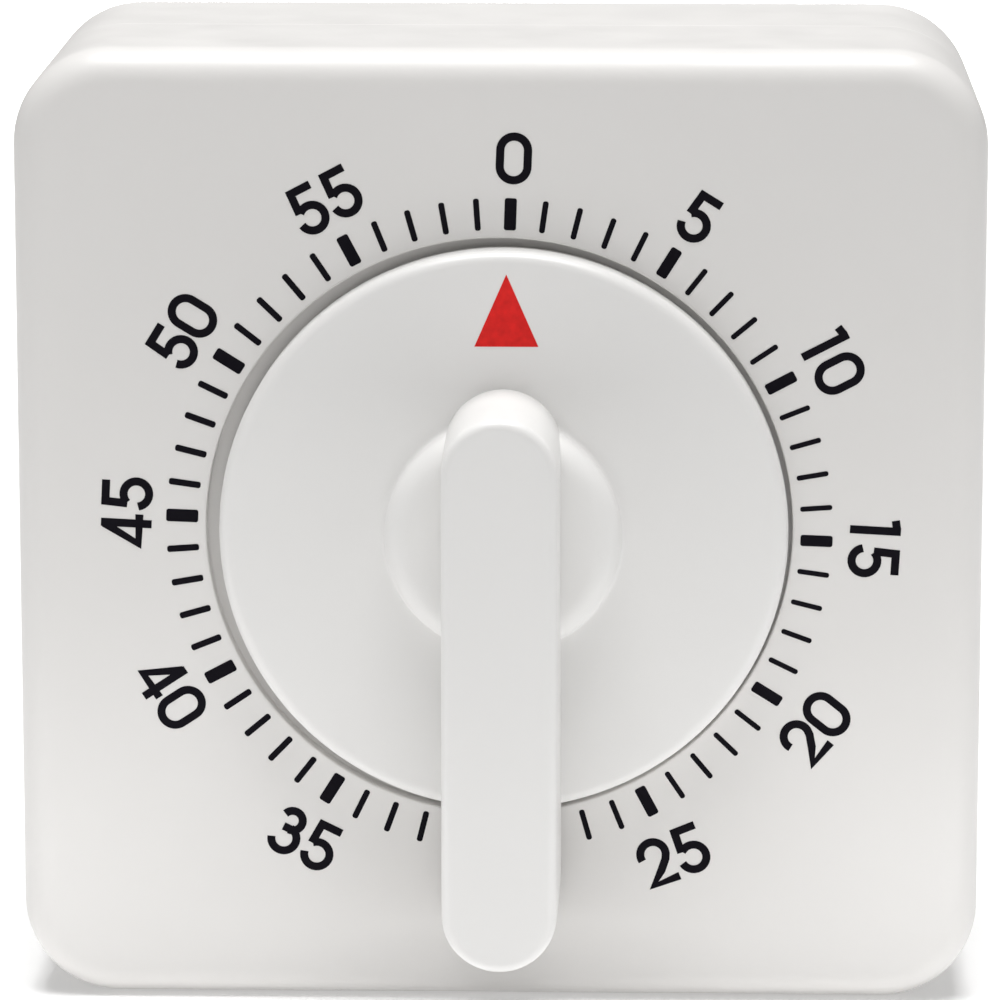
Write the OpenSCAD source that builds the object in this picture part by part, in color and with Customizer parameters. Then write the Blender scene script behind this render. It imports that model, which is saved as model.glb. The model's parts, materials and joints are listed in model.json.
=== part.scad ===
// Sixty minute clockwork kitchen timer: a square rounded case, a round dial with a
// long hanging grip bar, and a spring driven movement with a bell behind it.
// Every module is drawn in the dial frame: x right, y up, z towards the user,
// z = 0 on the flat front face of the case, origin on the dial axis.

/* [Case] */
// width and height of the square case
case_w = 70; // [60:0.5:90]
// depth of the case, front face to back face
case_depth = 31; // [28:0.5:36]
// radius of the four upright corners
corner_r = 7; // [4:0.5:14]
// rounding where the front face meets the sides
edge_r = 2.6; // [1:0.1:5]
// rounding where the back face meets the sides
back_edge_r = 1; // [0.5:0.1:4]
// height of the dial axis above the middle of the case
axis_up = 0.4; // [0:0.1:2]
// moulded wall thickness
wall = 2; // [1.6:0.1:3]
// depth of the front shell, down to the parting line
front_depth = 16; // [12:0.5:20]
// radius of the well that the dial sits in
well_r = 21.2; // [16:0.1:26]
// depth of the well below the front face
well_depth = 1.3; // [1:0.1:2.5]

/* [Dial knob] */
// radius of the round dial disc
disc_r = 20.5; // [15:0.1:25]
// height of the disc's face above the case
disc_proud = 2.4; // [1:0.1:4]
// reach of the disc's rim into the well
skirt = 0.9; // [0.5:0.1:2]
// radius of the raised hub
hub_r = 8.5; // [6:0.25:12]
// height of the hub above the disc
hub_rise = 3; // [1:0.25:6]
// width of the grip bar
bar_w = 8.4; // [6:0.1:14]
// reach of the bar above the dial axis
bar_up = 10.6; // [6:0.1:16]
// reach of the bar below the dial axis
bar_down = 29.6; // [22:0.1:32]
// height of the bar's front above the case
bar_top = 14; // [9:0.25:18]
// gap between the bar's free end and the case
bar_gap = 1; // [0.5:0.1:2]

/* [Movement] */
// distance from the front face to the front plate
plate_front = 6.6; // [6:0.1:8]
// space between the two plates
plate_space = 11; // [10:0.25:14]
// thickness of each plate
plate_t = 1; // [0.8:0.1:1.5]
// module of the main and strike meshes
coarse_m = 0.5; // [0.4:0.05:0.6]
// module of the going train's faster meshes
fine_m = 0.4; // [0.3:0.05:0.5]
// teeth on the main wheel
main_teeth = 60; // [48:12:72]
// teeth on the second and third wheels
train_teeth = 48; // [40:8:56]
// leaves on the second and strike pinions
coarse_leaves = 10; // [8:1:12]
// leaves on the third and escape pinions
fine_leaves = 8; // [7:1:10]
// teeth on the escape wheel
escape_teeth = 15; // [12:1:18]
// teeth on the click's ratchet wheel
ratchet_teeth = 24; // [16:2:36]
// teeth on the star that rocks the hammer
star_teeth = 12; // [8:1:16]
// radius of the balance wheel
balance_r = 7; // [5:0.25:8]

/* [Bell] */
// outer radius of the bell
bell_r = 20; // [15:0.5:24]
// height of the bell cup
bell_h = 4; // [3:0.25:5]
// thickness of the bell's sheet
bell_t = 0.8; // [0.5:0.1:1.2]

/* [Hidden] */
$fn = 64;
eps = 0.01;
run = 0.05;              // radial clearance of a turning pivot
fit = 0.02;              // radial clearance of a part fixed on its shaft
half = case_w / 2;
well_floor = 1.6;
well_back = -well_depth - well_floor;
back_in = -case_depth + wall;          // inner face of the back wall
case_in = case_w - 2 * wall;           // clear width inside the case
fp_z0 = -plate_front - plate_t;        // back face of the front plate
bp_z1 = fp_z0 - plate_space;           // front face of the back plate
bp_z0 = bp_z1 - plate_t;               // back face of the back plate
plate_x = 54;
plate_y = 52;
plate_r = 5;

// case fastenings
boss_in = half - 6.5;
boss_at = [for (sx = [-1, 1], sy = [-1, 1]) [sx * boss_in, sy * boss_in]];
boss_r = 3.2;
screw_r = 1.4;
screw_head_r = 2.5;
screw_head_t = 1.6;
counterbore = 2.2;
screw_hole_end = -6;                   // level the screws' holes reach in the front shell
screw_len = case_depth - 11;

// movement fastenings
mount_at = [[23.5, -8], [-23.5, -8], [0, 23.8], [0, -23.8]];
mount_boss_r = 2.4;
pillar_at = [[22.5, 21.5], [-22.5, 21.5], [22.5, -21.5], [-22.5, -21.5]];
pillar_r = 1.75;
small_screw_r = 0.9;
small_head_r = 1.7;
small_head_t = 1.2;
mount_grip = 2.6;                      // length of thread in the front shell's bosses
pillar_grip = 2.2;                     // length of thread in a pillar's end
blind = 0.2;                           // room left beyond a screw's end

// arbors
arbor_r = 0.8;
pivot_r = 0.4;
main_r = 2;
main_front_r = 1.5;
main_rear_r = 1;
shake = 0.15;                          // end float of each arbor

// gear train positions
main_pitch = main_teeth * coarse_m / 2;
coarse_pitch = coarse_leaves * coarse_m / 2;
train_pitch = train_teeth * fine_m / 2;
fine_pitch = fine_leaves * fine_m / 2;
coarse_dist = main_pitch + coarse_pitch;
fine_dist = train_pitch + fine_pitch;
function step_from(p, dist, dir) = [p[0] + dist * cos(dir), p[1] + dist * sin(dir)];
third_dir = 100;
escape_dir = 150;
pallet_dir = 170;
balance_dir = 175;
strike_dir = 216;
second_at = [coarse_dist, 0];
third_at = step_from(second_at, fine_dist, third_dir);
escape_at = step_from(third_at, fine_dist, escape_dir);
escape_r = 5.5;
pin_angle = 30;
pallet_dist = escape_r / cos(pin_angle);
pallet_pin_r = 0.25;
pallet_at = step_from(escape_at, pallet_dist, pallet_dir);
balance_dist = 8.6;
impulse_r = 1.2;
balance_at = step_from(pallet_at, balance_dist, balance_dir);
strike_at = step_from([0, 0], coarse_dist, strike_dir);
hammer_at = [-22, -17.5];
detent_at = [-12, 11];

// levels of the wheels, measured to the front of each
cam_z = -8.3;
third_wheel_z = -8.3;
second_wheel_z = -10.1;
click_z = -11.8;
main_wheel_z = -13;
spring_z = -14.5;
escape_wheel_z = -15;
balance_z = -11.3;
star_z = -15.6;
wheel_t = 0.8;
main_wheel_t = 1;
// back and front of the pinions that mesh with the main wheel
coarse_pinion = [main_wheel_z - main_wheel_t - 0.4, main_wheel_z + 0.5];
spring_w = 3.6;

bell_at = [0, -4];
bell_back = -24.2;
hammer_z = bp_z0 - 0.6;
hammer_reach = 14.5;
cam_r = 6;
lobe_r = 6.9;

// ---------- shared shapes ----------

// dial frame to the object's frame: up is +Z and the user is on the -Y side
module placed() {
    translate([0, 0, half + axis_up]) rotate([90, 0, 0]) translate([0, 0, case_depth / 2]) children();
}

// the case's middle lies a little below the dial axis
module mid_case() {
    translate([0, -axis_up, 0]) children();
}

module rod(at, r, z0, z1) {
    translate([at[0], at[1], z0]) cylinder(r = r, h = z1 - z0);
}

// flat shape raised between two levels
module slab(z0, z1) {
    translate([0, 0, z0]) linear_extrude(z1 - z0) children();
}

// square with round corners
module round_square(w, h, r) {
    square([w - 2 * r, h], center = true);
    square([w, h - 2 * r], center = true);
    for (sx = [-1, 1], sy = [-1, 1])
        translate([sx * (w / 2 - r), sy * (h / 2 - r)]) circle(r = r);
}

// bar with round ends between two points
module link(a, b, w) {
    d = norm(b - a);
    dir = atan2(b[1] - a[1], b[0] - a[0]);
    translate(a) circle(r = w / 2);
    translate(b) circle(r = w / 2);
    translate(a) rotate(dir) translate([0, -w / 2]) square([d, w]);
}

// half section of a rounded side, from the middle of the wall's corner out to its face
function side_section(r, e, z0, z1) = concat([[-1, z0], [r, z0]],
    [for (i = [0:6]) [r - e + e * cos(15 * i), z1 - e + e * sin(15 * i)]], [[-1, z1]]);

// block with round corners and one rounded face at z1
module soft_block(w, r, e, z0, z1) {
    s = w / 2 - r;
    translate([-s, -s, z0]) cube([2 * s, 2 * s, z1 - z0]);
    for (a = [0:90:270]) rotate(a) {
        translate([s, s, 0]) rotate([90, 0, 0])
            linear_extrude(2 * s) polygon(side_section(r, e, z0, z1));
        translate([s, s, 0]) rotate_extrude(angle = 90)
            intersection() {
                polygon(side_section(r, e, z0, z1));
                translate([0, z0]) square([r, z1 - z0]);
            }
    }
}

// the same block with its rounded face at z0
module back_block(w, r, e, z0, z1) {
    mirror([0, 0, 1]) soft_block(w, r, e, -z1, -z0);
}

function polar(r, a) = [r * cos(a), r * sin(a)];
function degs(len, r) = len / r * 180 / PI;

// half widths of a wheel tooth, in modules, against height over the pitch circle
wheel_form = [[-1.5, 0.85], [0, 0.785], [0.4, 0.7], [0.8, 0.48], [1.1, 0.2], [1.2, 0.05]];
// the same for a pinion leaf, which is thin and has radial flanks
leaf_form = [[-1.75, 0.34], [0, 0.525], [0.3, 0.42], [0.55, 0.2], [0.67, 0.05]];

// outline of a toothed wheel with a tooth centred on angle turn
function gear_outline(n, m, form, turn) = [for (k = [0:n - 1]) each concat(
    [for (i = [0:len(form) - 1]) let (r = n * m / 2 + form[i][0] * m)
        polar(r, turn + 360 * k / n - degs(form[i][1] * m, r))],
    [for (i = [len(form) - 1:-1:0]) let (r = n * m / 2 + form[i][0] * m)
        polar(r, turn + 360 * k / n + degs(form[i][1] * m, r))])];

// outline of a saw toothed wheel, points at tip_r, steep side ahead
function saw_outline(n, tip_r, root_r, back, turn) = [for (k = [0:n - 1]) each [
    polar(root_r, turn + 360 * k / n - back), polar(tip_r, turn + 360 * k / n - 0.8),
    polar(tip_r, turn + 360 * k / n + 0.8), polar(root_r, turn + 360 * k / n + 1.6)]];

// outline of a flat spring wound on a spiral
function spiral_outline(r0, r1, turns, t, a0, tail = []) = let (n = ceil(turns * 24)) concat(
    [for (i = [0:n]) polar(r0 + (r1 - r0) * i / n, a0 + 360 * turns * i / n)], tail,
    [for (i = [n:-1:0]) polar(r0 + t + (r1 - r0) * i / n, a0 + 360 * turns * i / n)]);

// spoked wheel: teeth outside, rim, crossings and a hub bored for its arbor
module crossed_wheel(outline, rim_in, hub, bore, spokes) {
    difference() {
        polygon(outline);
        if (spokes > 0) difference() {
            circle(r = rim_in);
            circle(r = hub);
            for (a = [0:360 / spokes:359]) rotate(a) translate([0, -0.55]) square([rim_in + 1, 1.1]);
        }
        circle(r = bore);
    }
}

// arbor with pivots at both plates and pinion leaves between two levels
module pinion_arbor(at, n, m, turn, z0, z1) {
    rod(at, pivot_r, bp_z0, bp_z1 + 1);
    rod(at, arbor_r, bp_z1 + shake, fp_z0 - shake);
    rod(at, pivot_r, fp_z0 - 1, -plate_front);
    translate([at[0], at[1], 0]) slab(z0, z1) polygon(gear_outline(n, m, leaf_form, turn));
}

module screw(at, r, len, head_r, head_t, z, up) {
    translate([at[0], at[1], z]) rotate([up ? 0 : 180, 0, 0]) difference() {
        union() {
            cylinder(r = head_r, h = head_t);
            translate([0, 0, -len]) cylinder(r = r, h = len + eps);
        }
        translate([-head_r, -head_r * 0.14, head_t * 0.55]) cube([2 * head_r, head_r * 0.28, head_t]);
    }
}

// ---------- case ----------

module front_case() color([0.86, 0.85, 0.83]) placed() {
    lip_t = 1;
    difference() {
        union() {
            mid_case() difference() {
                soft_block(case_w, corner_r, edge_r, -front_depth, 0);
                soft_block(case_w - 2 * wall, corner_r - wall, edge_r - wall,
                    -front_depth - 1, -wall);
            }
            // wall and floor of the dial well
            rod([0, 0], well_r + well_floor, well_back, -wall + eps);
            mid_case() for (p = boss_at) rod(p, boss_r, -front_depth, -wall + eps);
            for (p = mount_at) rod(p, mount_boss_r, -plate_front, -wall + eps);
        }
        rod([0, 0], well_r, -well_depth, 1);
        rod([0, 0], main_front_r + run, well_back - 1, 0);
        mid_case() for (p = boss_at) rod(p, screw_r + fit, -front_depth - 1, screw_hole_end);
        for (p = mount_at) rod(p, small_screw_r + fit, -plate_front - 1, -plate_front + mount_grip + blind);
        // joggle that the back cover's lip sits in
        mid_case() slab(-front_depth - 1, -front_depth + lip_t + 0.2) difference() {
            round_square(case_in + 2 * lip_t, case_in + 2 * lip_t, corner_r - wall + lip_t);
            round_square(case_in - 2 * wall, case_in - 2 * wall, corner_r - 2 * wall);
            for (p = boss_at) translate(p) circle(r = boss_r + eps);
        }
    }
}

module back_cover() color([0.84, 0.83, 0.81]) placed() {
    lip_t = 0.9;
    slot_w = 2.2;
    slot_len = 24;
    slot_pitch = 5.7;
    difference() {
        union() {
            mid_case() difference() {
                back_block(case_w, corner_r, back_edge_r, -case_depth, -front_depth);
                back_block(case_in, corner_r - wall, 0.4, back_in, -front_depth + 1);
            }
            // lip inside the front shell
            mid_case() slab(-front_depth - 1, -front_depth + 1) difference() {
                round_square(case_in + 2 * lip_t, case_in + 2 * lip_t, corner_r - wall + lip_t);
                round_square(case_in, case_in, corner_r - wall);
            }
            mid_case() for (p = boss_at) rod(p, boss_r, back_in - eps, -front_depth);
        }
        mid_case() for (p = boss_at) {
            rod(p, screw_r + 0.2, -case_depth - 1, -front_depth + 1);
            rod(p, screw_head_r + 0.3, -case_depth - 1, -case_depth + counterbore);
        }
        // slots that let the bell be heard
        for (i = [-2:2]) slab(-case_depth - 1, back_in + 1)
            link([i * slot_pitch, bell_at[1] - slot_len / 2],
                [i * slot_pitch, bell_at[1] + slot_len / 2], slot_w);
    }
}

module case_screws() color([0.7, 0.7, 0.72]) placed() mid_case()
    for (p = boss_at)
        screw(p, screw_r, screw_len, screw_head_r, screw_head_t, -case_depth + counterbore, false);

// ---------- frame of the movement ----------

module movement_screws() color([0.75, 0.75, 0.77]) placed() {
    for (p = mount_at)
        screw(p, small_screw_r, plate_t + mount_grip, small_head_r, small_head_t, fp_z0, false);
}

module plate_blank(holes) {
    difference() {
        round_square(plate_x, plate_y, plate_r);
        for (h = holes) translate([h[0], h[1]]) circle(r = h[2]);
    }
}

pivot_holes = [for (p = [second_at, third_at, escape_at, pallet_at, balance_at, strike_at])
    [p[0], p[1], pivot_r + run]];
pillar_holes = [for (p = pillar_at) [p[0], p[1], small_screw_r + fit]];

module front_plate() color([0.8, 0.68, 0.42]) placed() slab(fp_z0, -plate_front)
    plate_blank(concat(pivot_holes, pillar_holes,
        [for (p = mount_at) [p[0], p[1], small_screw_r + fit]],
        [[0, 0, main_front_r + run], [hammer_at[0], hammer_at[1], pivot_r + run],
         [detent_at[0], detent_at[1], 1 + fit]]));

module back_plate() color([0.8, 0.68, 0.42]) placed() slab(bp_z0, bp_z1)
    plate_blank(concat(pivot_holes, pillar_holes,
        [[0, 0, main_rear_r + run], [hammer_at[0], hammer_at[1], arbor_r + run],
         [bell_at[0], bell_at[1], 1 + fit]]));

module plate_pillars() color([0.72, 0.72, 0.74]) placed() {
    for (p = pillar_at) difference() {
        rod(p, pillar_r, bp_z1, fp_z0);
        rod(p, small_screw_r + fit, bp_z1 - 1, bp_z1 + pillar_grip + blind);
        rod(p, small_screw_r + fit, fp_z0 - pillar_grip - blind, fp_z0 + 1);
    }
}

module plate_screws() color([0.75, 0.75, 0.77]) placed() {
    for (p = pillar_at) {
        screw(p, small_screw_r, plate_t + pillar_grip, small_head_r, small_head_t, -plate_front, true);
        screw(p, small_screw_r, plate_t + pillar_grip, small_head_r, small_head_t, bp_z0, false);
    }
}

// power spring round the main arbor, its outer tail reaching a pillar
module mainspring() color([0.42, 0.45, 0.52]) placed() {
    turns = 5;
    t = 0.35;
    outer = 11;
    out_dir = atan2(pillar_at[2][1], pillar_at[2][0]);
    a0 = out_dir - 360 * turns;
    slab(spring_z - spring_w, spring_z) {
        polygon(spiral_outline(main_r + 0.1, outer, turns, t, a0));
        link(polar(outer + t / 2, out_dir), pillar_at[2] * 0.93, 0.6);
    }
    // eye that hooks over the pillar
    translate([pillar_at[2][0], pillar_at[2][1], spring_z - spring_w]) difference() {
        cylinder(r = pillar_r + 0.6, h = spring_w);
        translate([0, 0, -1]) cylinder(r = pillar_r + fit, h = spring_w + 2);
    }
}

// ---------- bell ----------

module bell() color([0.75, 0.76, 0.78]) placed()
    translate([bell_at[0], bell_at[1], bell_back]) rotate_extrude()
        polygon([[1.05, 0], [bell_r - 1.6, 0], [bell_r - 0.5, 0.5], [bell_r, 1.6],
            [bell_r, bell_h], [bell_r - bell_t, bell_h], [bell_r - bell_t, 1.8],
            [bell_r - 1.1, 1.1], [bell_r - 1.9, bell_t], [1.05, bell_t]]);

module bell_post() color([0.72, 0.72, 0.74]) placed() {
    rod(bell_at, 1, bp_z0 - eps, bp_z1);
    rod(bell_at, 1.9, bell_back + bell_t, bp_z0);
    rod(bell_at, 1, bell_back - 1.3, bell_back + bell_t + eps);
}

module bell_nut() color([0.75, 0.75, 0.77]) placed()
    translate([bell_at[0], bell_at[1], bell_back - 1.1]) difference() {
        cylinder(r = 2.3, h = 1.1, $fn = 6);
        translate([0, 0, -1]) cylinder(r = 1 + fit, h = 3);
    }

// ---------- dial knob, its arbor and what is fixed on it ----------

// disc, hub and bar are one hollow moulding with a socket for the arbor
module dial_knob() color([0.88, 0.87, 0.86]) placed() {
    shell = 1.6;
    round_e = 1.2;
    disc_profile = concat([[0, disc_proud - shell], [disc_r - shell, disc_proud - shell],
        [disc_r - shell, -skirt], [disc_r, -skirt]],
        [for (i = [0:6]) [disc_r - round_e + round_e * cos(15 * i),
            disc_proud - round_e + round_e * sin(15 * i)]], [[0, disc_proud]]);
    hub_top = disc_proud + hub_rise;
    hub_e = 1.5;
    hub_profile = concat([[0, disc_proud - shell + eps], [hub_r, disc_proud - shell + eps]],
        [for (i = [0:6]) [hub_r - hub_e + hub_e * cos(15 * i),
            hub_top - hub_e + hub_e * sin(15 * i)]], [[0, hub_top]]);
    end_r = bar_w / 2;
    bar_edge = 0.6;
    bar_wall = 1.7;
    high = [0, bar_up - end_r];
    low = [0, -bar_down + end_r];
    difference() {
        union() {
            rotate_extrude() polygon(disc_profile);
            rotate_extrude() polygon(hub_profile);
            slab(disc_proud - shell + eps, bar_top - bar_edge) link(high, low, bar_w);
            slab(bar_top - bar_edge - eps, bar_top) link(high, low, bar_w - 2 * bar_edge);
            // free end of the bar comes down close to the case
            slab(bar_gap, disc_proud) link([0, -disc_r - end_r], low, bar_w);
        }
        // cored out from behind
        slab(-1, bar_top - bar_wall) link(high, low, bar_w - 2 * bar_wall);
    }
    difference() {
        rod([0, 0], 2.9, -skirt, bar_top - bar_wall + eps);
        difference() {
            rod([0, 0], main_front_r + fit, -skirt - 1, 9);
            translate([main_front_r - 0.4 + fit, -3, -skirt - 2]) cube([3, 6, 14]);
        }
    }
}

module main_arbor() color([0.7, 0.71, 0.73]) placed() {
    difference() {
        rod([0, 0], main_front_r, fp_z0 - 1, 8.9);
        translate([main_front_r - 0.4, -3, -skirt - 0.1]) cube([3, 6, 14]);
    }
    rod([0, 0], main_r, bp_z1 + shake, fp_z0 - shake);
    rod([0, 0], main_rear_r, bp_z0, bp_z1 + 1);
}

// takes the pull of the spring from the arbor to the main wheel through the click
module ratchet_wheel() color([0.72, 0.72, 0.74]) placed()
    slab(click_z - main_wheel_t, click_z)
        crossed_wheel(saw_outline(ratchet_teeth, 6, 5.3, 9, 2), 0, 0, main_r + fit, 0);

// disc with one lobe that holds the detent off while the dial points at nought
module release_cam() color([0.72, 0.72, 0.74]) placed()
    slab(cam_z - main_wheel_t, cam_z) difference() {
        union() {
            circle(r = cam_r);
            polygon([polar(cam_r - 0.5, 168), polar(lobe_r, 175), polar(lobe_r, 185),
                polar(cam_r - 0.5, 192)]);
        }
        circle(r = main_r + fit);
    }

// ---------- main wheel and click ----------

click_pivot = polar(8.6, 120);
spring_foot = polar(9.3, 70);

module main_wheel() color([0.84, 0.71, 0.4]) placed() difference() {
    slab(main_wheel_z - main_wheel_t, main_wheel_z)
        crossed_wheel(gear_outline(main_teeth, coarse_m, wheel_form, 0),
            main_pitch - 2.2, 10.4, main_r + run, 5);
    rod(click_pivot, 0.6 + fit, main_wheel_z - 2, main_wheel_z + 1);
    rod(spring_foot, 0.3 + fit, main_wheel_z - 2, main_wheel_z + 1);
}

module click_stud() color([0.72, 0.72, 0.74]) placed() {
    rod(click_pivot, 0.6, main_wheel_z - main_wheel_t, click_z + 0.2);
    rod(click_pivot, 1.1, click_z + 0.1, click_z + 0.5);
}

// wire foot riveted in the main wheel, with a bent arm behind the click
module click_spring() color([0.5, 0.52, 0.58]) placed() {
    rod(spring_foot, 0.3, main_wheel_z - main_wheel_t, click_z - 0.2);
    slab(click_z - 0.8, click_z - 0.3) link(spring_foot, polar(8.9, 104), 0.5);
}

module click() color([0.72, 0.72, 0.74]) placed()
    slab(click_z - main_wheel_t + 0.1, click_z) difference() {
        union() {
            translate(click_pivot) circle(r = 1.2);
            link(click_pivot, polar(6.9, 94), 1);
            polygon([polar(6.35, 93), polar(5.45, 79.6), polar(7.0, 84), polar(7.5, 98)]);
        }
        translate(click_pivot) circle(r = 0.6 + run);
    }

// ---------- going train ----------

module second_arbor() color([0.72, 0.72, 0.74]) placed()
    pinion_arbor(second_at, coarse_leaves, coarse_m, 180 + 180 / coarse_leaves,
        coarse_pinion[0], coarse_pinion[1]);

module second_wheel() color([0.84, 0.71, 0.4]) placed()
    translate([second_at[0], second_at[1], 0]) slab(second_wheel_z - wheel_t, second_wheel_z)
        crossed_wheel(gear_outline(train_teeth, fine_m, wheel_form, third_dir),
            train_pitch - 1.8, 2, arbor_r + fit, 4);

module third_arbor() color([0.72, 0.72, 0.74]) placed()
    pinion_arbor(third_at, fine_leaves, fine_m, third_dir + 180 + 180 / fine_leaves,
        second_wheel_z - wheel_t - 0.4, second_wheel_z + 0.4);

module third_wheel() color([0.84, 0.71, 0.4]) placed()
    translate([third_at[0], third_at[1], 0]) slab(third_wheel_z - wheel_t, third_wheel_z)
        crossed_wheel(gear_outline(train_teeth, fine_m, wheel_form, escape_dir),
            train_pitch - 1.8, 2, arbor_r + fit, 4);

module escape_arbor() color([0.72, 0.72, 0.74]) placed()
    pinion_arbor(escape_at, fine_leaves, fine_m, escape_dir + 180 + 180 / fine_leaves,
        third_wheel_z - wheel_t - 0.4, third_wheel_z + 0.3);

module escape_wheel() color([0.84, 0.71, 0.4]) placed()
    translate([escape_at[0], escape_at[1], 0]) slab(escape_wheel_z - wheel_t, escape_wheel_z)
        crossed_wheel(saw_outline(escape_teeth, escape_r, 4.2, 8, pallet_dir),
            3.2, 1.5, arbor_r + fit, 3);

// ---------- escapement ----------

// where the two pallet pins stand, just clear of the tip circle in mid swing
function pallet_pin_at(s) = step_from(escape_at, escape_r + pallet_pin_r + 0.05,
    pallet_dir + s * pin_angle);
fork_tip = balance_dist - impulse_r + 0.9;

module pallet_lever() color([0.84, 0.71, 0.4]) placed() {
    lever_z = escape_wheel_z + 0.3;
    rod(pallet_at, pivot_r, bp_z0, bp_z1 + 1);
    rod(pallet_at, 0.6, bp_z1 + shake, fp_z0 - shake);
    rod(pallet_at, pivot_r, fp_z0 - 1, -plate_front);
    slab(lever_z, lever_z + 0.7) difference() {
        union() {
            translate(pallet_at) circle(r = 1.3);
            for (s = [-1, 1]) link(pallet_at, pallet_pin_at(s), 1);
            link(pallet_at, step_from(pallet_at, fork_tip - 1, balance_dir), 1.5);
        }
        // slot of the fork
        translate(pallet_at) rotate(balance_dir)
            translate([fork_tip - 2.3, -0.4]) square([3, 0.8]);
    }
}

module pallet_pins() color([0.6, 0.62, 0.66]) placed()
    for (s = [-1, 1])
        rod(pallet_pin_at(s), pallet_pin_r, escape_wheel_z - wheel_t, escape_wheel_z + 0.3);

module balance_wheel() color([0.84, 0.71, 0.4]) placed()
    translate([balance_at[0], balance_at[1], 0]) slab(balance_z - main_wheel_t, balance_z)
        difference() {
            circle(r = balance_r);
            difference() {
                circle(r = balance_r - 1.3);
                circle(r = 1.6);
                rotate(30) square([2 * balance_r, 1.2], center = true);
            }
            circle(r = arbor_r + fit);
        }

// staff with a small roller whose pin drives the fork
module balance_staff() color([0.72, 0.72, 0.74]) placed() {
    roller_z = escape_wheel_z + 1.2;
    rod(balance_at, pivot_r, bp_z0, bp_z1 + 1);
    rod(balance_at, 0.6, bp_z1 + shake, roller_z + 0.3);
    rod(balance_at, arbor_r, roller_z + 0.2, fp_z0 - shake);
    rod(balance_at, pivot_r, fp_z0 - 1, -plate_front);
    rod(balance_at, 1.7, roller_z, roller_z + 0.6);
    rod(step_from(balance_at, impulse_r, balance_dir + 180), 0.2, escape_wheel_z + 0.2, roller_z + 0.1);
}

module hairspring() color([0.42, 0.45, 0.52]) placed()
    translate([balance_at[0], balance_at[1], 0]) slab(balance_z + 0.8, balance_z + 1.4)
        polygon(spiral_outline(arbor_r + 0.1, 4.2, 5, 0.15, 90, [[-0.3, 4.2], [-0.3, 4.9], [0, 4.9]]));

// peg in the front plate that holds the hairspring's outer end
module hairspring_stud() color([0.72, 0.72, 0.74]) placed() difference() {
    rod(balance_at + [0, 5.6], 0.6, balance_z + 0.4, fp_z0);
    rod(balance_at + [0, 5.6], 0.2, balance_z, balance_z + 1);
}

// ---------- alarm ----------

module strike_arbor() color([0.72, 0.72, 0.74]) placed()
    pinion_arbor(strike_at, coarse_leaves, coarse_m, strike_dir + 180 + 180 / coarse_leaves,
        coarse_pinion[0], coarse_pinion[1]);

star_r = 4.6;
hammer_dir = atan2(hammer_at[1] - strike_at[1], hammer_at[0] - strike_at[0]);

module strike_wheel() color([0.84, 0.71, 0.4]) placed()
    translate([strike_at[0], strike_at[1], 0]) slab(star_z - wheel_t, star_z)
        crossed_wheel(saw_outline(star_teeth, star_r, 3.2, 9, hammer_dir), 0, 0,
            arbor_r + fit, 0);

// rocking arbor with two short fingers astride the star
module hammer_arbor() color([0.72, 0.72, 0.74]) placed() {
    rod(hammer_at, arbor_r, hammer_z - 0.8, fp_z0 - shake);
    rod(hammer_at, pivot_r, fp_z0 - 1, -plate_front);
    slab(star_z - wheel_t, star_z) difference() {
        union() {
            translate(hammer_at) circle(r = 1.5);
            for (s = [-1, 1])
                link(hammer_at, step_from(strike_at, star_r + 0.75, hammer_dir + s * 22.5), 0.9);
        }
        translate(hammer_at) circle(r = arbor_r - 0.3);
    }
}

module hammer() color([0.7, 0.71, 0.73]) placed() {
    head = hammer_at + [-1, hammer_reach];
    slab(hammer_z - 0.8, hammer_z) difference() {
        union() {
            translate(hammer_at) circle(r = 1.8);
            link(hammer_at, head, 1.3);
        }
        translate(hammer_at) circle(r = arbor_r + fit);
    }
    rod(head, 1.9, hammer_z - 4, hammer_z - 0.8 + eps);
}

// lever whose nose rides the release cam and whose finger stops the star
finger_at = step_from(strike_at, 5.45, 117);

module detent_lever() color([0.72, 0.72, 0.74]) placed() {
    slab(cam_z - main_wheel_t, cam_z) difference() {
        union() {
            translate(detent_at) circle(r = 1.8);
            link(detent_at, [-lobe_r - 1, 0.8], 1.2);
            polygon([[-lobe_r - 1.6, 1.6], [-lobe_r - 1.5, -0.2], [-lobe_r - 0.15, -0.35],
                [-lobe_r - 0.15, 0.35], [-lobe_r - 0.5, 1.6]]);
            link(detent_at, finger_at, 1.4);
        }
        translate(detent_at) circle(r = 1 + run);
    }
    rod(finger_at, 0.5, star_z - wheel_t, cam_z - main_wheel_t + eps);
}

module detent_stud() color([0.72, 0.72, 0.74]) placed() {
    rod(detent_at, 1, cam_z - main_wheel_t - 0.2, -plate_front);
    rod(detent_at, 1.7, cam_z - main_wheel_t - 0.7, cam_z - main_wheel_t - 0.15);
}

// wire foot in the front plate with an arm that presses the nose towards the cam
module detent_spring() color([0.5, 0.52, 0.58]) placed() {
    foot = [-12.2, 1.5];
    rod(foot, 0.35, cam_z - 0.8, fp_z0);
    slab(cam_z - 0.8, cam_z - 0.3) link(foot, [-10.75, 4.6], 0.5);
}

front_case();
back_cover();
case_screws();
movement_screws();
front_plate();
back_plate();
plate_pillars();
plate_screws();
mainspring();
bell();
bell_post();
bell_nut();
detent_stud();
detent_spring();
hairspring();
hairspring_stud();
dial_knob();
main_arbor();
ratchet_wheel();
release_cam();
main_wheel();
click_stud();
click_spring();
click();
second_arbor();
second_wheel();
third_arbor();
third_wheel();
escape_arbor();
escape_wheel();
pallet_lever();
pallet_pins();
balance_wheel();
balance_staff();
strike_arbor();
strike_wheel();
hammer_arbor();
hammer();
detent_lever();
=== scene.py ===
import json
import math

import bmesh
import bpy
from mathutils import Matrix, Vector


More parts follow.
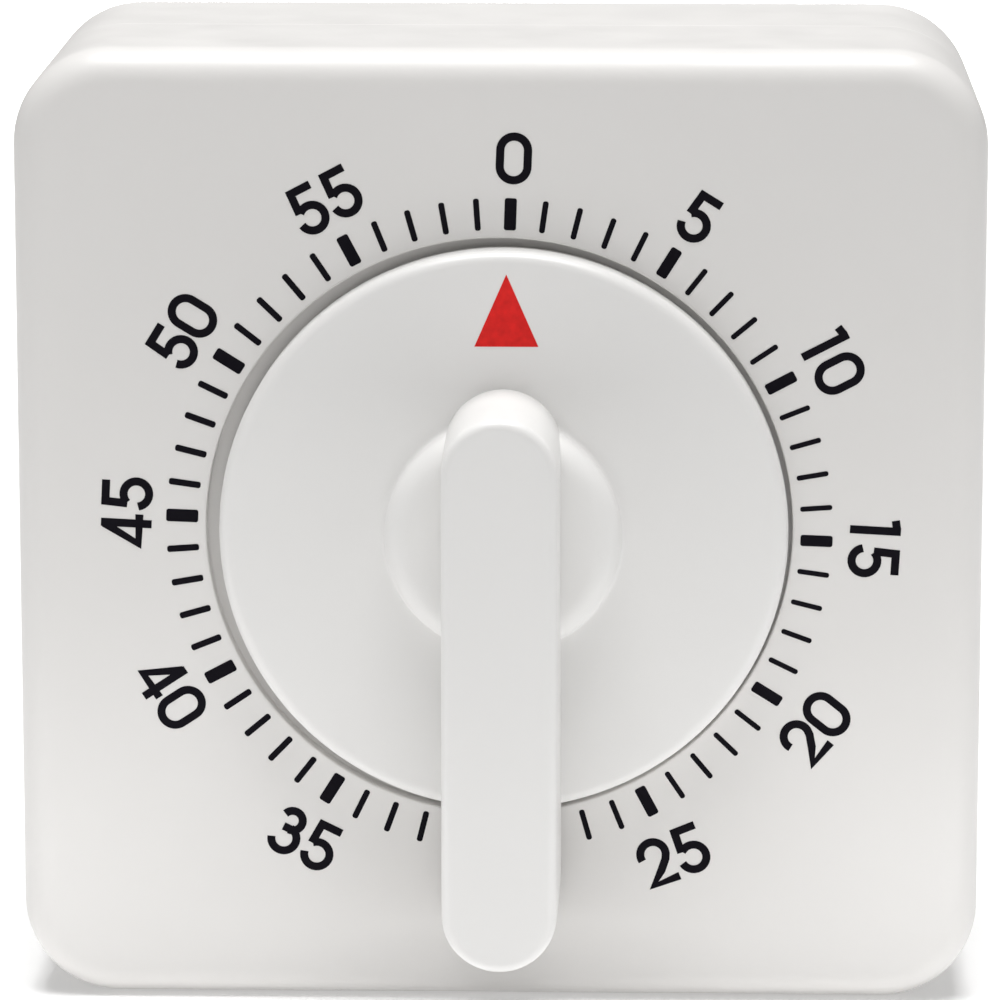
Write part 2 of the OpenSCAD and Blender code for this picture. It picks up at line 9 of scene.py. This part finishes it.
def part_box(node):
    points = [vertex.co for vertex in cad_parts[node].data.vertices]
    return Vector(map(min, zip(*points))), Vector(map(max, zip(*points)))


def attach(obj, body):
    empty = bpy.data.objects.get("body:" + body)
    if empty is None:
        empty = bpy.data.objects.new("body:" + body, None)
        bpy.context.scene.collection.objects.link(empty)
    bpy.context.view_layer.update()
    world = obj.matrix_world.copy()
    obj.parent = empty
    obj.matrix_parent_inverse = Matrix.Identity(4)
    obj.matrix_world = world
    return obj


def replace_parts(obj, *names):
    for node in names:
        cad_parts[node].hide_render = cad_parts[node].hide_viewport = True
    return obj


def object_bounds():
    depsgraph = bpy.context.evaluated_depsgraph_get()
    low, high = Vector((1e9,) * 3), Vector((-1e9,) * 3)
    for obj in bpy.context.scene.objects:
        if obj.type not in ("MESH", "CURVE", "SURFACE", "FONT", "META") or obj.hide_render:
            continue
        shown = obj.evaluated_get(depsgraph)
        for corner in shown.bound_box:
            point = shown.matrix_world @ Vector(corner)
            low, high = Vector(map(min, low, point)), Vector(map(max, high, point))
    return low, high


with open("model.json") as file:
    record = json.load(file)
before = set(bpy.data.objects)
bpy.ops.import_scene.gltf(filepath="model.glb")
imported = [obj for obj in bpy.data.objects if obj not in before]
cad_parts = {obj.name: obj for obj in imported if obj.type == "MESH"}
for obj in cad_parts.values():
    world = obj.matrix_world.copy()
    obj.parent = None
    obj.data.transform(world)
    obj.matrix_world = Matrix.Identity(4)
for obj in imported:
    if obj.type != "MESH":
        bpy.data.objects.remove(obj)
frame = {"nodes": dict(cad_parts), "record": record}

CAD_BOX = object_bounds()
MM = 0.001

# ---------------------------------------------------------------------------
# Places and sizes, in millimetres, in the dial frame: x right, y up,
# z towards the user from the case's front face, origin on the dial axis.
# ---------------------------------------------------------------------------
CASE_LOW, CASE_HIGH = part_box("front_case")
BACK_LOW, BACK_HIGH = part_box("back_cover")
KNOB_LOW, KNOB_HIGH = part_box("dial_knob")
AXIS_X = (CASE_LOW.x + CASE_HIGH.x) / 2
AXIS_UP = 0.4            # the dial axis is a little above the case's middle
AXIS_Z = (CASE_LOW.z + CASE_HIGH.z) / 2 + AXIS_UP * MM
FACE_Y = CASE_LOW.y

HALF = (CASE_HIGH.x - CASE_LOW.x) / 2 / MM
CASE_DEPTH = (BACK_HIGH.y - FACE_Y) / MM
PARTING = -16
CORNER_R = 7
EDGE_R = 2.6
BACK_EDGE_R = 1.0
WALL = 2
WELL_R = 21.2
WELL_DEPTH = 1.3
WELL_BACK = 2.9
BORE_R = 1.95            # the arbor's hole in the well floor and in the knob
POST_AT = HALF - 6.5     # the four screw posts, from the case's middle
POST_R = 3.2
SEAM = 0.03              # half the gap between the two shells
SEAM_ROUND = 0.08        # rounding of each shell's edge at the parting line

DISC_R = 20.5
DISC_TOP = 2.4
HUB_R = 8.5
HUB_TOP = 5.4
BAR_W = 8.4
BAR_UP = 10.6
BAR_DOWN = 29.6
BAR_TOP = (FACE_Y - KNOB_LOW.y) / MM

SCALE_TURN = -2.03       # the printed ring sits a little clockwise of the case
TICK_IN = 21.78
TICK_OUT = 24.10
INK = 0.02               # height of the print above its surface
INK_SUNK = 0.01
KNOB_PLAY = (0.36, 0.05)   # the knob sits a little loose on its arbor


def place(x, y, z):
    """A point of the dial frame in metres in the row frame."""
    return Vector((AXIS_X + x * MM, FACE_Y - z * MM, AXIS_Z + y * MM))


# ---------------------------------------------------------------------------
# Mesh helpers
# ---------------------------------------------------------------------------
def arc(cx, cy, r, start, end, steps):
    """Points on a circle from angle start to angle end, in degrees."""
    turn = [math.radians(start + (end - start) * i / steps) for i in range(steps + 1)]
    return [(cx + r * math.cos(a), cy + r * math.sin(a)) for a in turn]


def finish_object(bm, name, body, material, smooth_angle=40):
    """Turns a bmesh in the row frame into a shaded object riding on a body."""
    bmesh.ops.recalc_face_normals(bm, faces=bm.faces)
    mesh = bpy.data.meshes.new(name)
    bm.to_mesh(mesh)
    bm.free()
    mesh.shade_smooth()
    mesh.set_sharp_from_angle(angle=math.radians(smooth_angle))
    obj = bpy.data.objects.new(name, mesh)
    bpy.context.scene.collection.objects.link(obj)
    mesh.materials.append(material)
    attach(obj, body)
    return obj


def skin(bm, loops, closed=False, cap_start=False, cap_end=False):
    """Joins equal loops of points (dial frame) with quads."""
    rings = [[bm.verts.new(place(*p)) for p in loop] for loop in loops]
    pairs = list(zip(rings, rings[1:]))
    if closed:
        pairs.append((rings[-1], rings[0]))
    for a, b in pairs:
        for i in range(len(a)):
            j = (i + 1) % len(a)
            bm.faces.new((a[i], a[j], b[j], b[i]))
    if cap_start:
        bm.faces.new(rings[0])
    if cap_end:
        bm.faces.new(reversed(rings[-1]))
    return rings


SIDE_STEPS = 36
CORNER_STEPS = 16


def square_points(half, corner):
    """Square with round corners. Its points keep their directions from size to size."""
    flat = half - corner
    reach = math.atan2(flat, half)
    points = []
    for quarter in range(4):
        turn = Matrix.Rotation(quarter * math.pi / 2, 2)
        side = [(half, half * math.tan(-reach + 2 * reach * i / SIDE_STEPS))
                for i in range(SIDE_STEPS)]
        bend = arc(flat, flat, corner, 0, 90, CORNER_STEPS)[:-1]
        points += [tuple(turn @ Vector(p)) for p in side + bend]
    return points


SPOKES = [math.atan2(y, x) for x, y in square_points(HALF, CORNER_R)]


def square_loop(inset, z):
    """The case's outline, drawn in by inset."""
    corner = max(CORNER_R - inset, 1.0)
    return [(x, y - AXIS_UP, z) for x, y in square_points(HALF - inset, corner)]


def circle_loop(r, z):
    """A circle whose points face those of the case's outline."""
    return [(r * math.cos(a), r * math.sin(a), z) for a in SPOKES]


def lathe(bm, profile, centre=(0, 0), steps=160):
    """Revolves a closed profile of (radius, z) round the dial axis or another centre."""
    loops = []
    for r, z in profile:
        r = max(r, 1e-4)
        ring = [(centre[0] + x, centre[1] + y, z) for x, y in arc(0, 0, r, 0, 360, steps)[:-1]]
        loops.append(ring)
    return skin(bm, loops, closed=True)


def tube(bm, centre, outer, inner, low, high, steps=48):
    """A round pipe along z, from low to high."""
    lathe(bm, [(inner, low), (outer, low), (outer, high), (inner, high)], centre, steps)


# ---------------------------------------------------------------------------
# Procedural materials
# ---------------------------------------------------------------------------
class Nodes:
    """Short forms for building one material's node tree."""

    def __init__(self, name):
        self.material = bpy.data.materials.new(name)
        self.material.use_nodes = True
        self.tree = self.material.node_tree
        self.shader = self.tree.nodes["Principled BSDF"]
        coords = self.tree.nodes.new("ShaderNodeTexCoord")
        self.coords = coords.outputs["Object"]

    def set(self, **values):
        for key, value in values.items():
            self.shader.inputs[key.replace("_", " ")].default_value = value
        return self

    def noise(self, scale, detail=3.0, stretch=None):
        node = self.tree.nodes.new("ShaderNodeTexNoise")
        node.inputs["Scale"].default_value = scale
        node.inputs["Detail"].default_value = detail
        source = self.coords
        if stretch:
            mapping = self.tree.nodes.new("ShaderNodeMapping")
            mapping.inputs["Scale"].default_value = stretch
            self.tree.links.new(self.coords, mapping.inputs["Vector"])
            source = mapping.outputs["Vector"]
        self.tree.links.new(source, node.inputs["Vector"])
        return node.outputs["Fac"]

    def ramp(self, value, low, high, start=0.3, end=0.7):
        """Maps a 0 to 1 value onto two greys or two colours."""
        node = self.tree.nodes.new("ShaderNodeValToRGB")
        first, last = node.color_ramp.elements
        first.position, last.position = start, end
        grey = not isinstance(low, tuple)
        first.color = (low, low, low, 1) if grey else (*low, 1)
        last.color = (high, high, high, 1) if grey else (*high, 1)
        self.tree.links.new(value, node.inputs["Fac"])
        return node.outputs["Color"]

    def link(self, output, socket):
        self.tree.links.new(output, self.shader.inputs[socket])
        return self

    def bump(self, heights):
        """Chains bumps of (height, strength, distance in metres)."""
        last = None
        for height, strength, distance in heights:
            node = self.tree.nodes.new("ShaderNodeBump")
            node.inputs["Strength"].default_value = strength
            node.inputs["Distance"].default_value = distance
            self.tree.links.new(height, node.inputs["Height"])
            if last:
                self.tree.links.new(last, node.inputs["Normal"])
            last = node.outputs["Normal"]
        self.tree.links.new(last, self.shader.inputs["Normal"])
        return self


def tint(colour, factor):
    """The colour made darker or lighter."""
    return tuple(c * factor for c in colour)


def moulded_plastic(name, colour, rough, texture):
    """Satin white moulding: faint cloudiness, a fine spark texture and uneven gloss."""
    n = Nodes(name)
    cloud = n.noise(45, 4)
    grain = n.noise(2600, 2)
    handling = n.noise(160, 5)
    n.link(n.ramp(cloud, tint(colour, 0.985), colour), "Base Color")
    n.link(n.ramp(handling, rough - 0.05, rough + 0.05), "Roughness")
    n.bump([(grain, texture, 2e-5), (handling, texture * 0.25, 6e-5)])
    n.set(IOR=1.5, Specular_IOR_Level=0.5)
    return n.material


def printed_ink(name, colour):
    """Pad printed ink with slightly uneven cover."""
    n = Nodes(name)
    cover = n.noise(1500, 3)
    n.link(n.ramp(cover, colour, tint(colour, 1.25)), "Base Color")
    n.link(n.ramp(n.noise(700, 2), 0.6, 0.75), "Roughness")
    n.bump([(cover, 0.15, 1e-5)])
    n.set(Specular_IOR_Level=0.08)
    return n.material


def metal(name, colour, rough, stretch, tarnish=0.85):
    """Bare or plated metal with drawn or turned marks and a little dulling."""
    n = Nodes(name)
    marks = n.noise(900, 4, stretch)
    stain = n.noise(120, 5)
    n.link(n.ramp(stain, tint(colour, tarnish), colour), "Base Color")
    n.link(n.ramp(marks, rough - 0.08, rough + 0.12), "Roughness")
    n.bump([(marks, 0.25, 8e-6), (stain, 0.05, 4e-5)])
    n.set(Metallic=1.0)
    return n.material


CASE_WHITE = (0.805, 0.79, 0.772)
KNOB_WHITE = (0.85, 0.842, 0.828)
MATERIALS = {
    "white_abs": moulded_plastic("case plastic", CASE_WHITE, 0.42, 0.10),
    "knob_abs": moulded_plastic("knob plastic", KNOB_WHITE, 0.36, 0.05),
    "plated_steel": metal("plated screw", (0.72, 0.71, 0.68), 0.28, (1, 1, 6)),
    "brass_sheet": metal("rolled brass", (0.76, 0.58, 0.27), 0.34, (0.2, 1, 5)),
    "cut_brass": metal("stamped brass", (0.80, 0.60, 0.28), 0.26, (4, 1, 0.4)),
    "turned_steel": metal("turned steel", (0.60, 0.60, 0.60), 0.24, (1, 8, 1)),
    "blued_steel": metal("blued spring", (0.10, 0.13, 0.22), 0.30, (1, 6, 1)),
    "bell_steel": metal("bell nickel", (0.74, 0.73, 0.70), 0.16, (1, 7, 1)),
}
BLACK_INK = printed_ink("scale ink", (0.0045, 0.0036, 0.0065))
RED_INK = printed_ink("pointer ink", (0.66, 0.022, 0.020))


# ---------------------------------------------------------------------------
# Case
# ---------------------------------------------------------------------------
def corner_posts():
    """The centres of the four screw posts."""
    return [(sx * POST_AT, sy * POST_AT - AXIS_UP) for sx in (-1, 1) for sy in (-1, 1)]


def front_shell():
    """Front shell with the dial well, its rolled lip, the posts and the seats."""
    bm = bmesh.new()
    lip, foot, inner_fillet = 0.14, 0.12, 0.6
    collar_r = WELL_R + 1.6
    edge = [(EDGE_R * (1 - math.sin(math.radians(a))), -EDGE_R * (1 - math.cos(math.radians(a))))
            for a in range(0, 91, 9)]
    loops = [circle_loop(BORE_R, -WELL_BACK), circle_loop(BORE_R, -WELL_DEPTH - 0.1),
             circle_loop(BORE_R + 0.1, -WELL_DEPTH), circle_loop(WELL_R - foot - 0.2, -WELL_DEPTH)]
    loops += [circle_loop(r, z) for r, z in
              arc(WELL_R - foot, -WELL_DEPTH + foot, foot, -90, 0, 5)]
    loops += [circle_loop(WELL_R, -lip - 0.2)]
    loops += [circle_loop(r, z) for r, z in arc(WELL_R + lip, -lip, lip, 180, 90, 6)]
    loops += [circle_loop(WELL_R + lip + 0.2, 0), square_loop(EDGE_R + 0.4, 0)]
    loops += [square_loop(inset, z) for inset, z in edge]
    loops += [square_loop(0, -EDGE_R - 0.4), square_loop(0, PARTING + SEAM_ROUND + 0.2),
              square_loop(0, PARTING + SEAM_ROUND), square_loop(SEAM_ROUND, PARTING + SEAM),
              square_loop(WALL, PARTING + SEAM), square_loop(WALL, -WALL - inner_fillet)]
    loops += [square_loop(WALL + inner_fillet, -WALL), circle_loop(collar_r, -WALL),
              circle_loop(collar_r, -WELL_BACK)]
    skin(bm, loops, closed=True)
    thread_r = 1.42
    for post in corner_posts():
        tube(bm, post, POST_R, thread_r, PARTING + SEAM, -WALL)
    seat_r, seat_thread_r, seat_end = 2.4, 0.92, -6.6
    for seat in ((23.5, -8), (-23.5, -8), (0, 23.8), (0, -23.8)):
        tube(bm, seat, seat_r, seat_thread_r, seat_end, -WALL)
    obj = finish_object(bm, "front_shell", "case", MATERIALS["white_abs"])
    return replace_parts(obj, "front_case")


def cutter(loops):
    """A closed solid used to cut another, removed afterwards."""
    bm = bmesh.new()
    skin(bm, loops, cap_start=True, cap_end=True)
    bmesh.ops.recalc_face_normals(bm, faces=bm.faces)
    mesh = bpy.data.meshes.new("cutter")
    bm.to_mesh(mesh)
    bm.free()
    obj = bpy.data.objects.new("cutter", mesh)
    bpy.context.scene.collection.objects.link(obj)
    return obj


def cut(obj, tools, bevel):
    """Cuts the tools out of obj, softens the edges and makes the result its mesh."""
    for tool in tools:
        step = obj.modifiers.new("cut", "BOOLEAN")
        step.operation, step.solver, step.object = "DIFFERENCE", "EXACT", tool
    soft = obj.modifiers.new("soft", "BEVEL")
    soft.width, soft.segments, soft.limit_method = bevel * MM, 2, "ANGLE"
    soft.angle_limit = math.radians(50)
    graph = bpy.context.evaluated_depsgraph_get()
    done = bpy.data.meshes.new_from_object(obj.evaluated_get(graph))
    obj.modifiers.clear()
    obj.data = done
    for tool in tools:
        bpy.data.objects.remove(tool)
    done.shade_smooth()
    done.set_sharp_from_angle(angle=math.radians(40))


def stadium(x0, y0, x1, y1, r, steps=16):
    """Outline of a bar with round ends, from one end's centre to the other's."""
    lean = math.degrees(math.atan2(y1 - y0, x1 - x0))
    return (arc(x1, y1, r, lean - 90, lean + 90, steps)
            + arc(x0, y0, r, lean + 90, lean + 270, steps))


def back_shell():
    """Back cover: rounded back, sound slots, screw wells, lip and posts."""
    bm = bmesh.new()
    back = -CASE_DEPTH
    edge = [(BACK_EDGE_R * (1 - math.cos(math.radians(a))),
             back + BACK_EDGE_R * (1 - math.sin(math.radians(a)))) for a in range(0, 91, 10)]
    loops = [square_loop(WALL, back + WALL), square_loop(WALL, PARTING - SEAM),
             square_loop(SEAM_ROUND, PARTING - SEAM), square_loop(0, PARTING - SEAM_ROUND),
             square_loop(0, back + BACK_EDGE_R + 0.4)]
    loops += [square_loop(inset, z) for inset, z in edge]
    loops += [square_loop(BACK_EDGE_R + 0.4, back)]
    skin(bm, loops, cap_start=True, cap_end=True)
    obj = finish_object(bm, "back_shell", "case", MATERIALS["white_abs"])
    slot_w, slot_len, pitch, drop = 2.2, 24, 5.7, 4
    head_r, shank_r = 2.8, 1.6
    holes = [stadium(i * pitch, -slot_len / 2 - drop, i * pitch, slot_len / 2 - drop, slot_w / 2)
             for i in range(-2, 3)]
    holes += [arc(*post, head_r, 0, 360, 48)[:-1] for post in corner_posts()]
    tools = [cutter([[(x, y, z) for x, y in hole] for z in (back - 1, back + WALL + 1)])
             for hole in holes]
    cut(obj, tools, 0.2)
    add = bmesh.new()
    add.from_mesh(obj.data)
    for post in corner_posts():
        tube(add, post, POST_R, shank_r, back + WALL + 0.2, PARTING - SEAM)
    bmesh.ops.recalc_face_normals(add, faces=add.faces)
    add.to_mesh(obj.data)
    add.free()
    even = obj.modifiers.new("even", "WEIGHTED_NORMAL")
    even.keep_sharp = True
    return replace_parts(obj, "back_cover")


# ---------------------------------------------------------------------------
# Dial knob
# ---------------------------------------------------------------------------
def shift_by_play(bm):
    """Moves a piece of the knob off the dial axis by the knob's play."""
    bmesh.ops.translate(bm, verts=bm.verts, vec=(KNOB_PLAY[0] * MM, 0, KNOB_PLAY[1] * MM))


def knob():
    """Disc, hub and hollow grip bar, one moulding."""
    bm = bmesh.new()
    shell, skirt, disc_edge, hub_edge, hub_foot = 1.6, -0.9, 0.9, 1.9, 0.35
    profile = [(BORE_R, DISC_TOP - shell), (DISC_R - shell, DISC_TOP - shell),
               (DISC_R - shell, skirt), (DISC_R - 0.2, skirt), (DISC_R - 0.05, skirt + 0.15),
               (DISC_R, DISC_TOP - disc_edge - 0.1)]
    profile += arc(DISC_R - disc_edge, DISC_TOP - disc_edge, disc_edge, 0, 90, 10)
    profile += [(DISC_R - disc_edge - 0.3, DISC_TOP), (HUB_R + hub_foot + 0.3, DISC_TOP)]
    profile += arc(HUB_R + hub_foot, DISC_TOP + hub_foot, hub_foot, -90, -180, 5)
    profile += arc(HUB_R - hub_edge, HUB_TOP - hub_edge, hub_edge, 0, 90, 12)
    profile += [(HUB_R - hub_edge - 0.3, HUB_TOP), (BORE_R, HUB_TOP)]
    lathe(bm, profile, steps=240)

    edge, draft, wall, bottom = 0.75, 0.12, 1.7, 1.0
    r = BAR_W / 2
    high, low = BAR_UP - r, -BAR_DOWN + r

    def bar_loop(inset, z):
        """The bar's outline, drawn in by inset."""
        return [(x, y, z) for x, y in stadium(0, high, 0, low, r - inset, 24)]

    loops = [bar_loop(draft + edge + 0.3, BAR_TOP)]
    loops += [bar_loop(draft + edge - x, z) for x, z in
              arc(0, BAR_TOP - edge, edge, 90, 0, 10)]
    loops += [bar_loop(draft * 0.9, BAR_TOP - edge - 0.5), bar_loop(0, bottom + 0.4),
              bar_loop(0.12, bottom + 0.12), bar_loop(0.35, bottom), bar_loop(wall, bottom),
              bar_loop(wall + 0.1, BAR_TOP - wall)]
    skin(bm, loops, cap_start=True, cap_end=True)
    shift_by_play(bm)
    obj = finish_object(bm, "knob_moulding", "dial", MATERIALS["knob_abs"])
    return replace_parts(obj, "dial_knob")


# ---------------------------------------------------------------------------
# Printed scale and pointer
# ---------------------------------------------------------------------------
def ribbon(bm, points, width, base, height):
    """A flat printed stroke along the points, mitred, with square ends or closed."""
    mitre_limit = 0.68
    sides = ([], [])
    closed = points[0] == points[-1]
    if closed:
        points = points[:-1]
    count = len(points)
    for i, p in enumerate(points):
        before = Vector(points[i - 1 if closed else max(i - 1, 0)])
        after = Vector(points[(i + 1) % count if closed else min(i + 1, count - 1)])
        here = Vector(p)
        one = (here - before).normalized() if closed or i else (after - here).normalized()
        two = (after - here).normalized() if closed or i < count - 1 else one
        normal = Vector((-one.y - two.y, one.x + two.x)).normalized()
        reach = width / 2 / max(normal.dot(Vector((-one.y, one.x))), mitre_limit)
        sides[0].append(here + normal * reach)
        sides[1].append(here - normal * reach)
    low, high = [[[bm.verts.new(place(q.x, q.y, z)) for q in side] for side in sides]
                 for z in (base, height)]
    for i in range(count if closed else count - 1):
        j = (i + 1) % count
        for level in (low, high):
            bm.faces.new((level[0][i], level[0][j], level[1][j], level[1][i]))
        for s in (0, 1):
            bm.faces.new((low[s][i], low[s][j], high[s][j], high[s][i]))
    if not closed:
        for i in (0, count - 1):
            bm.faces.new((low[0][i], low[1][i], high[1][i], high[0][i]))


def digit_strokes(digit):
    """Centre lines of a digit 3.15 mm high, about its middle."""
    if digit == "0":
        right = arc(0, 0.585, 0.99, 0, 180, 18)
        left = arc(0, -0.585, 0.99, 180, 360, 18)
        return [right + left + [right[0]]]
    if digit == "1":
        return [[(-0.38, 1.42), (0.30, 1.56)], [(0.42, 1.84), (0.42, -1.84)]]
    if digit == "2":
        hook = arc(0, 0.64, 0.93, 192, -18, 22)
        return [hook + [(0.72, 0.0), (0.1, -0.72), (-0.82, -1.575), (1.22, -1.575)]]
    if digit == "3":
        upper = arc(0.0, 0.83, 0.74, 160, -90, 18)
        lower = arc(0.0, -0.65, 0.92, 82, -165, 22)
        return [upper, lower, [(-0.42, 0.18), (0.18, 0.18)]]
    if digit == "4":
        return [[(0.5, 1.84), (0.5, -1.84)],
                [(0.42, 1.62), (-0.98, -0.93), (1.18, -0.93)]]
    return [[(0.95, 1.575), (-0.62, 1.575), (-0.72, -0.02)], arc(0.0, -0.65, 0.93, 134, -170, 24)]


DIGIT_PITCH = 2.68
STROKE = 0.59
# where each number is printed (x, y) and how far it leans clockwise, in degrees
NUMBERS = {0: (1.06, 26.95, 2.0), 5: (14.27, 22.70, 32.0), 10: (23.84, 12.66, 62.5),
           15: (27.12, -0.94, 93.0), 20: (22.96, -14.70, -51.3), 25: (12.73, -24.34, -22.5),
           30: (-0.94, -27.43, 2.0), 35: (-14.25, -23.24, 26.3), 40: (-23.86, -12.33, 56.5),
           45: (-26.95, 1.07, -87.2), 50: (-22.74, 14.31, -58.5), 55: (-12.47, 23.82, -27.8)}


def numeral(bm, text, x, y, lean):
    """Prints a number on the case with its middle at x, y."""
    centre = Vector((x, y))
    turn = Matrix.Rotation(math.radians(-lean), 2)
    for i, digit in enumerate(text):
        shift = (i - (len(text) - 1) / 2) * DIGIT_PITCH
        for k, stroke in enumerate(digit_strokes(digit)):
            path = [tuple(centre + turn @ Vector((px + shift, py))) for px, py in stroke]
            if stroke[0] == stroke[-1]:
                path[-1] = path[0]
            ribbon(bm, path, STROKE, -INK_SUNK, INK + 0.002 * k)


def flat_print(bm, outline, base, height):
    """A thin closed plate of the given outline, between two levels."""
    levels = [[bm.verts.new(place(x, y, z)) for x, y in outline] for z in (base, height)]
    for ring in levels:
        bm.faces.new(ring)
    for i in range(len(outline)):
        j = (i + 1) % len(outline)
        bm.faces.new((levels[0][i], levels[0][j], levels[1][j], levels[1][i]))


def tick(bm, a, width):
    """One mark of the scale, a radial bar with worn round corners."""
    r = min(width / 2, 0.17)
    flat = width / 2 - r
    outline = []
    for x, y, start in ((TICK_OUT - r, flat, 0), (TICK_IN + r, flat, 90),
                        (TICK_IN + r, -flat, 180), (TICK_OUT - r, -flat, 270)):
        outline += arc(x, y, r, start, start + 90, 5)
    turn = Matrix.Rotation(a, 2)
    flat_print(bm, [turn @ Vector(p) for p in outline], -INK_SUNK, INK)


def scale_print():
    """Sixty marks, every fifth one heavy, and a number at each heavy mark."""
    bm = bmesh.new()
    for minute in range(60):
        a = math.radians(90 - minute * 6 + SCALE_TURN)
        width = (0.87 if minute % 5 == 0 else 0.42) - 0.05 * math.cos(a)
        tick(bm, a, width)
    finish_object(bm, "scale_marks", "case", BLACK_INK, 20)
    bm = bmesh.new()
    for minute, spot in NUMBERS.items():
        numeral(bm, str(minute), *spot)
    finish_object(bm, "scale_numbers", "case", BLACK_INK, 20)


def pointer():
    """Red triangle printed on the disc, opposite the bar."""
    bm = bmesh.new()
    corners = [(0.22, 18.9), (-2.06, 13.68), (2.52, 13.68)]
    flat_print(bm, corners, DISC_TOP - INK_SUNK, DISC_TOP + INK)
    shift_by_play(bm)
    finish_object(bm, "pointer_mark", "dial", RED_INK, 20)


# ---------------------------------------------------------------------------
# The CAD nodes that stay get the record's finishes
# ---------------------------------------------------------------------------
def finish_cad_nodes():
    slots = {s["node"]: s["material_slot"] for s in frame["record"]["subparts"]}
    for name, obj in frame["nodes"].items():
        obj.data.materials.clear()
        obj.data.materials.append(MATERIALS[slots[name]])


# ---------------------------------------------------------------------------
# Floor, light and camera
# ---------------------------------------------------------------------------
def floor():
    bm = bmesh.new()
    bmesh.ops.create_grid(bm, x_segments=8, y_segments=8, size=6)
    mesh = bpy.data.meshes.new("floor")
    bm.to_mesh(mesh)
    bm.free()
    obj = bpy.data.objects.new("floor", mesh)
    obj.location = (0, 0, CAD_BOX[0].z)
    bpy.context.scene.collection.objects.link(obj)
    n = Nodes("floor")
    n.link(n.ramp(n.noise(2, 2), (0.90, 0.90, 0.90), (0.92, 0.92, 0.92)), "Base Color")
    n.set(Roughness=0.9, Emission_Color=(1, 1, 1, 1), Emission_Strength=0.2)
    mesh.materials.append(n.material)


def area_light(name, where, aim, width, height, watts):
    data = bpy.data.lights.new(name, "AREA")
    data.shape = "RECTANGLE"
    data.size, data.size_y = width, height
    data.energy = watts
    obj = bpy.data.objects.new(name, data)
    obj.location = where
    obj.rotation_euler = (Vector(aim) - Vector(where)).to_track_quat("-Z", "Y").to_euler()
    bpy.context.scene.collection.objects.link(obj)
    return obj


def lights():
    """A soft box overhead, a weak one in front, low bounce strips and a lit backdrop."""
    world = bpy.data.worlds.new("studio")
    world.use_nodes = True
    background = world.node_tree.nodes["Background"]
    background.inputs["Color"].default_value = (1, 1, 1, 1)
    background.inputs["Strength"].default_value = 0.1
    bpy.context.scene.world = world
    area_light("overhead", (0, -0.05, 1.2), (0, -0.05, 0), 0.7, 0.7, 17.4)
    area_light("fill", (0, -1.3, 0.3), (0, 0, 0.03), 0.5, 0.5, 0.3)
    for side in (-1, 1):
        strip = area_light("bounce strip", (side * 0.055, -0.045, 0.003),
                           (side * 0.044, 0, 0.003), 0.07, 0.006, 0.0037)
        strip.visible_camera = False
    backdrop = area_light("backdrop", (0, 0.95, 0.8), (0, 0.7, 0), 0.6, 0.4, 2.2)
    backdrop.data.spread = math.radians(60)
    bpy.context.scene.view_settings.view_transform = "Standard"


def camera():
    """Long lens, a little above the dial and a little to its right."""
    pitch, yaw, distance = math.radians(11.40), math.radians(1.56), 429.6
    aim = place(0.07, 2.08, 0)
    back = Vector((math.sin(yaw) * math.cos(pitch), -math.cos(yaw) * math.cos(pitch),
                   math.sin(pitch)))
    data = bpy.data.cameras.new("camera")
    data.sensor_width = 36
    data.lens = 214.2
    data.clip_start, data.clip_end = 0.01, 50
    obj = bpy.data.objects.new("camera", data)
    obj.location = aim + back * distance * MM
    obj.rotation_euler = (-back).to_track_quat("-Z", "Y").to_euler()
    bpy.context.scene.collection.objects.link(obj)
    bpy.context.scene.camera = obj


finish_cad_nodes()
front_shell()
back_shell()
knob()
scale_print()
pointer()
floor()
lights()
camera()
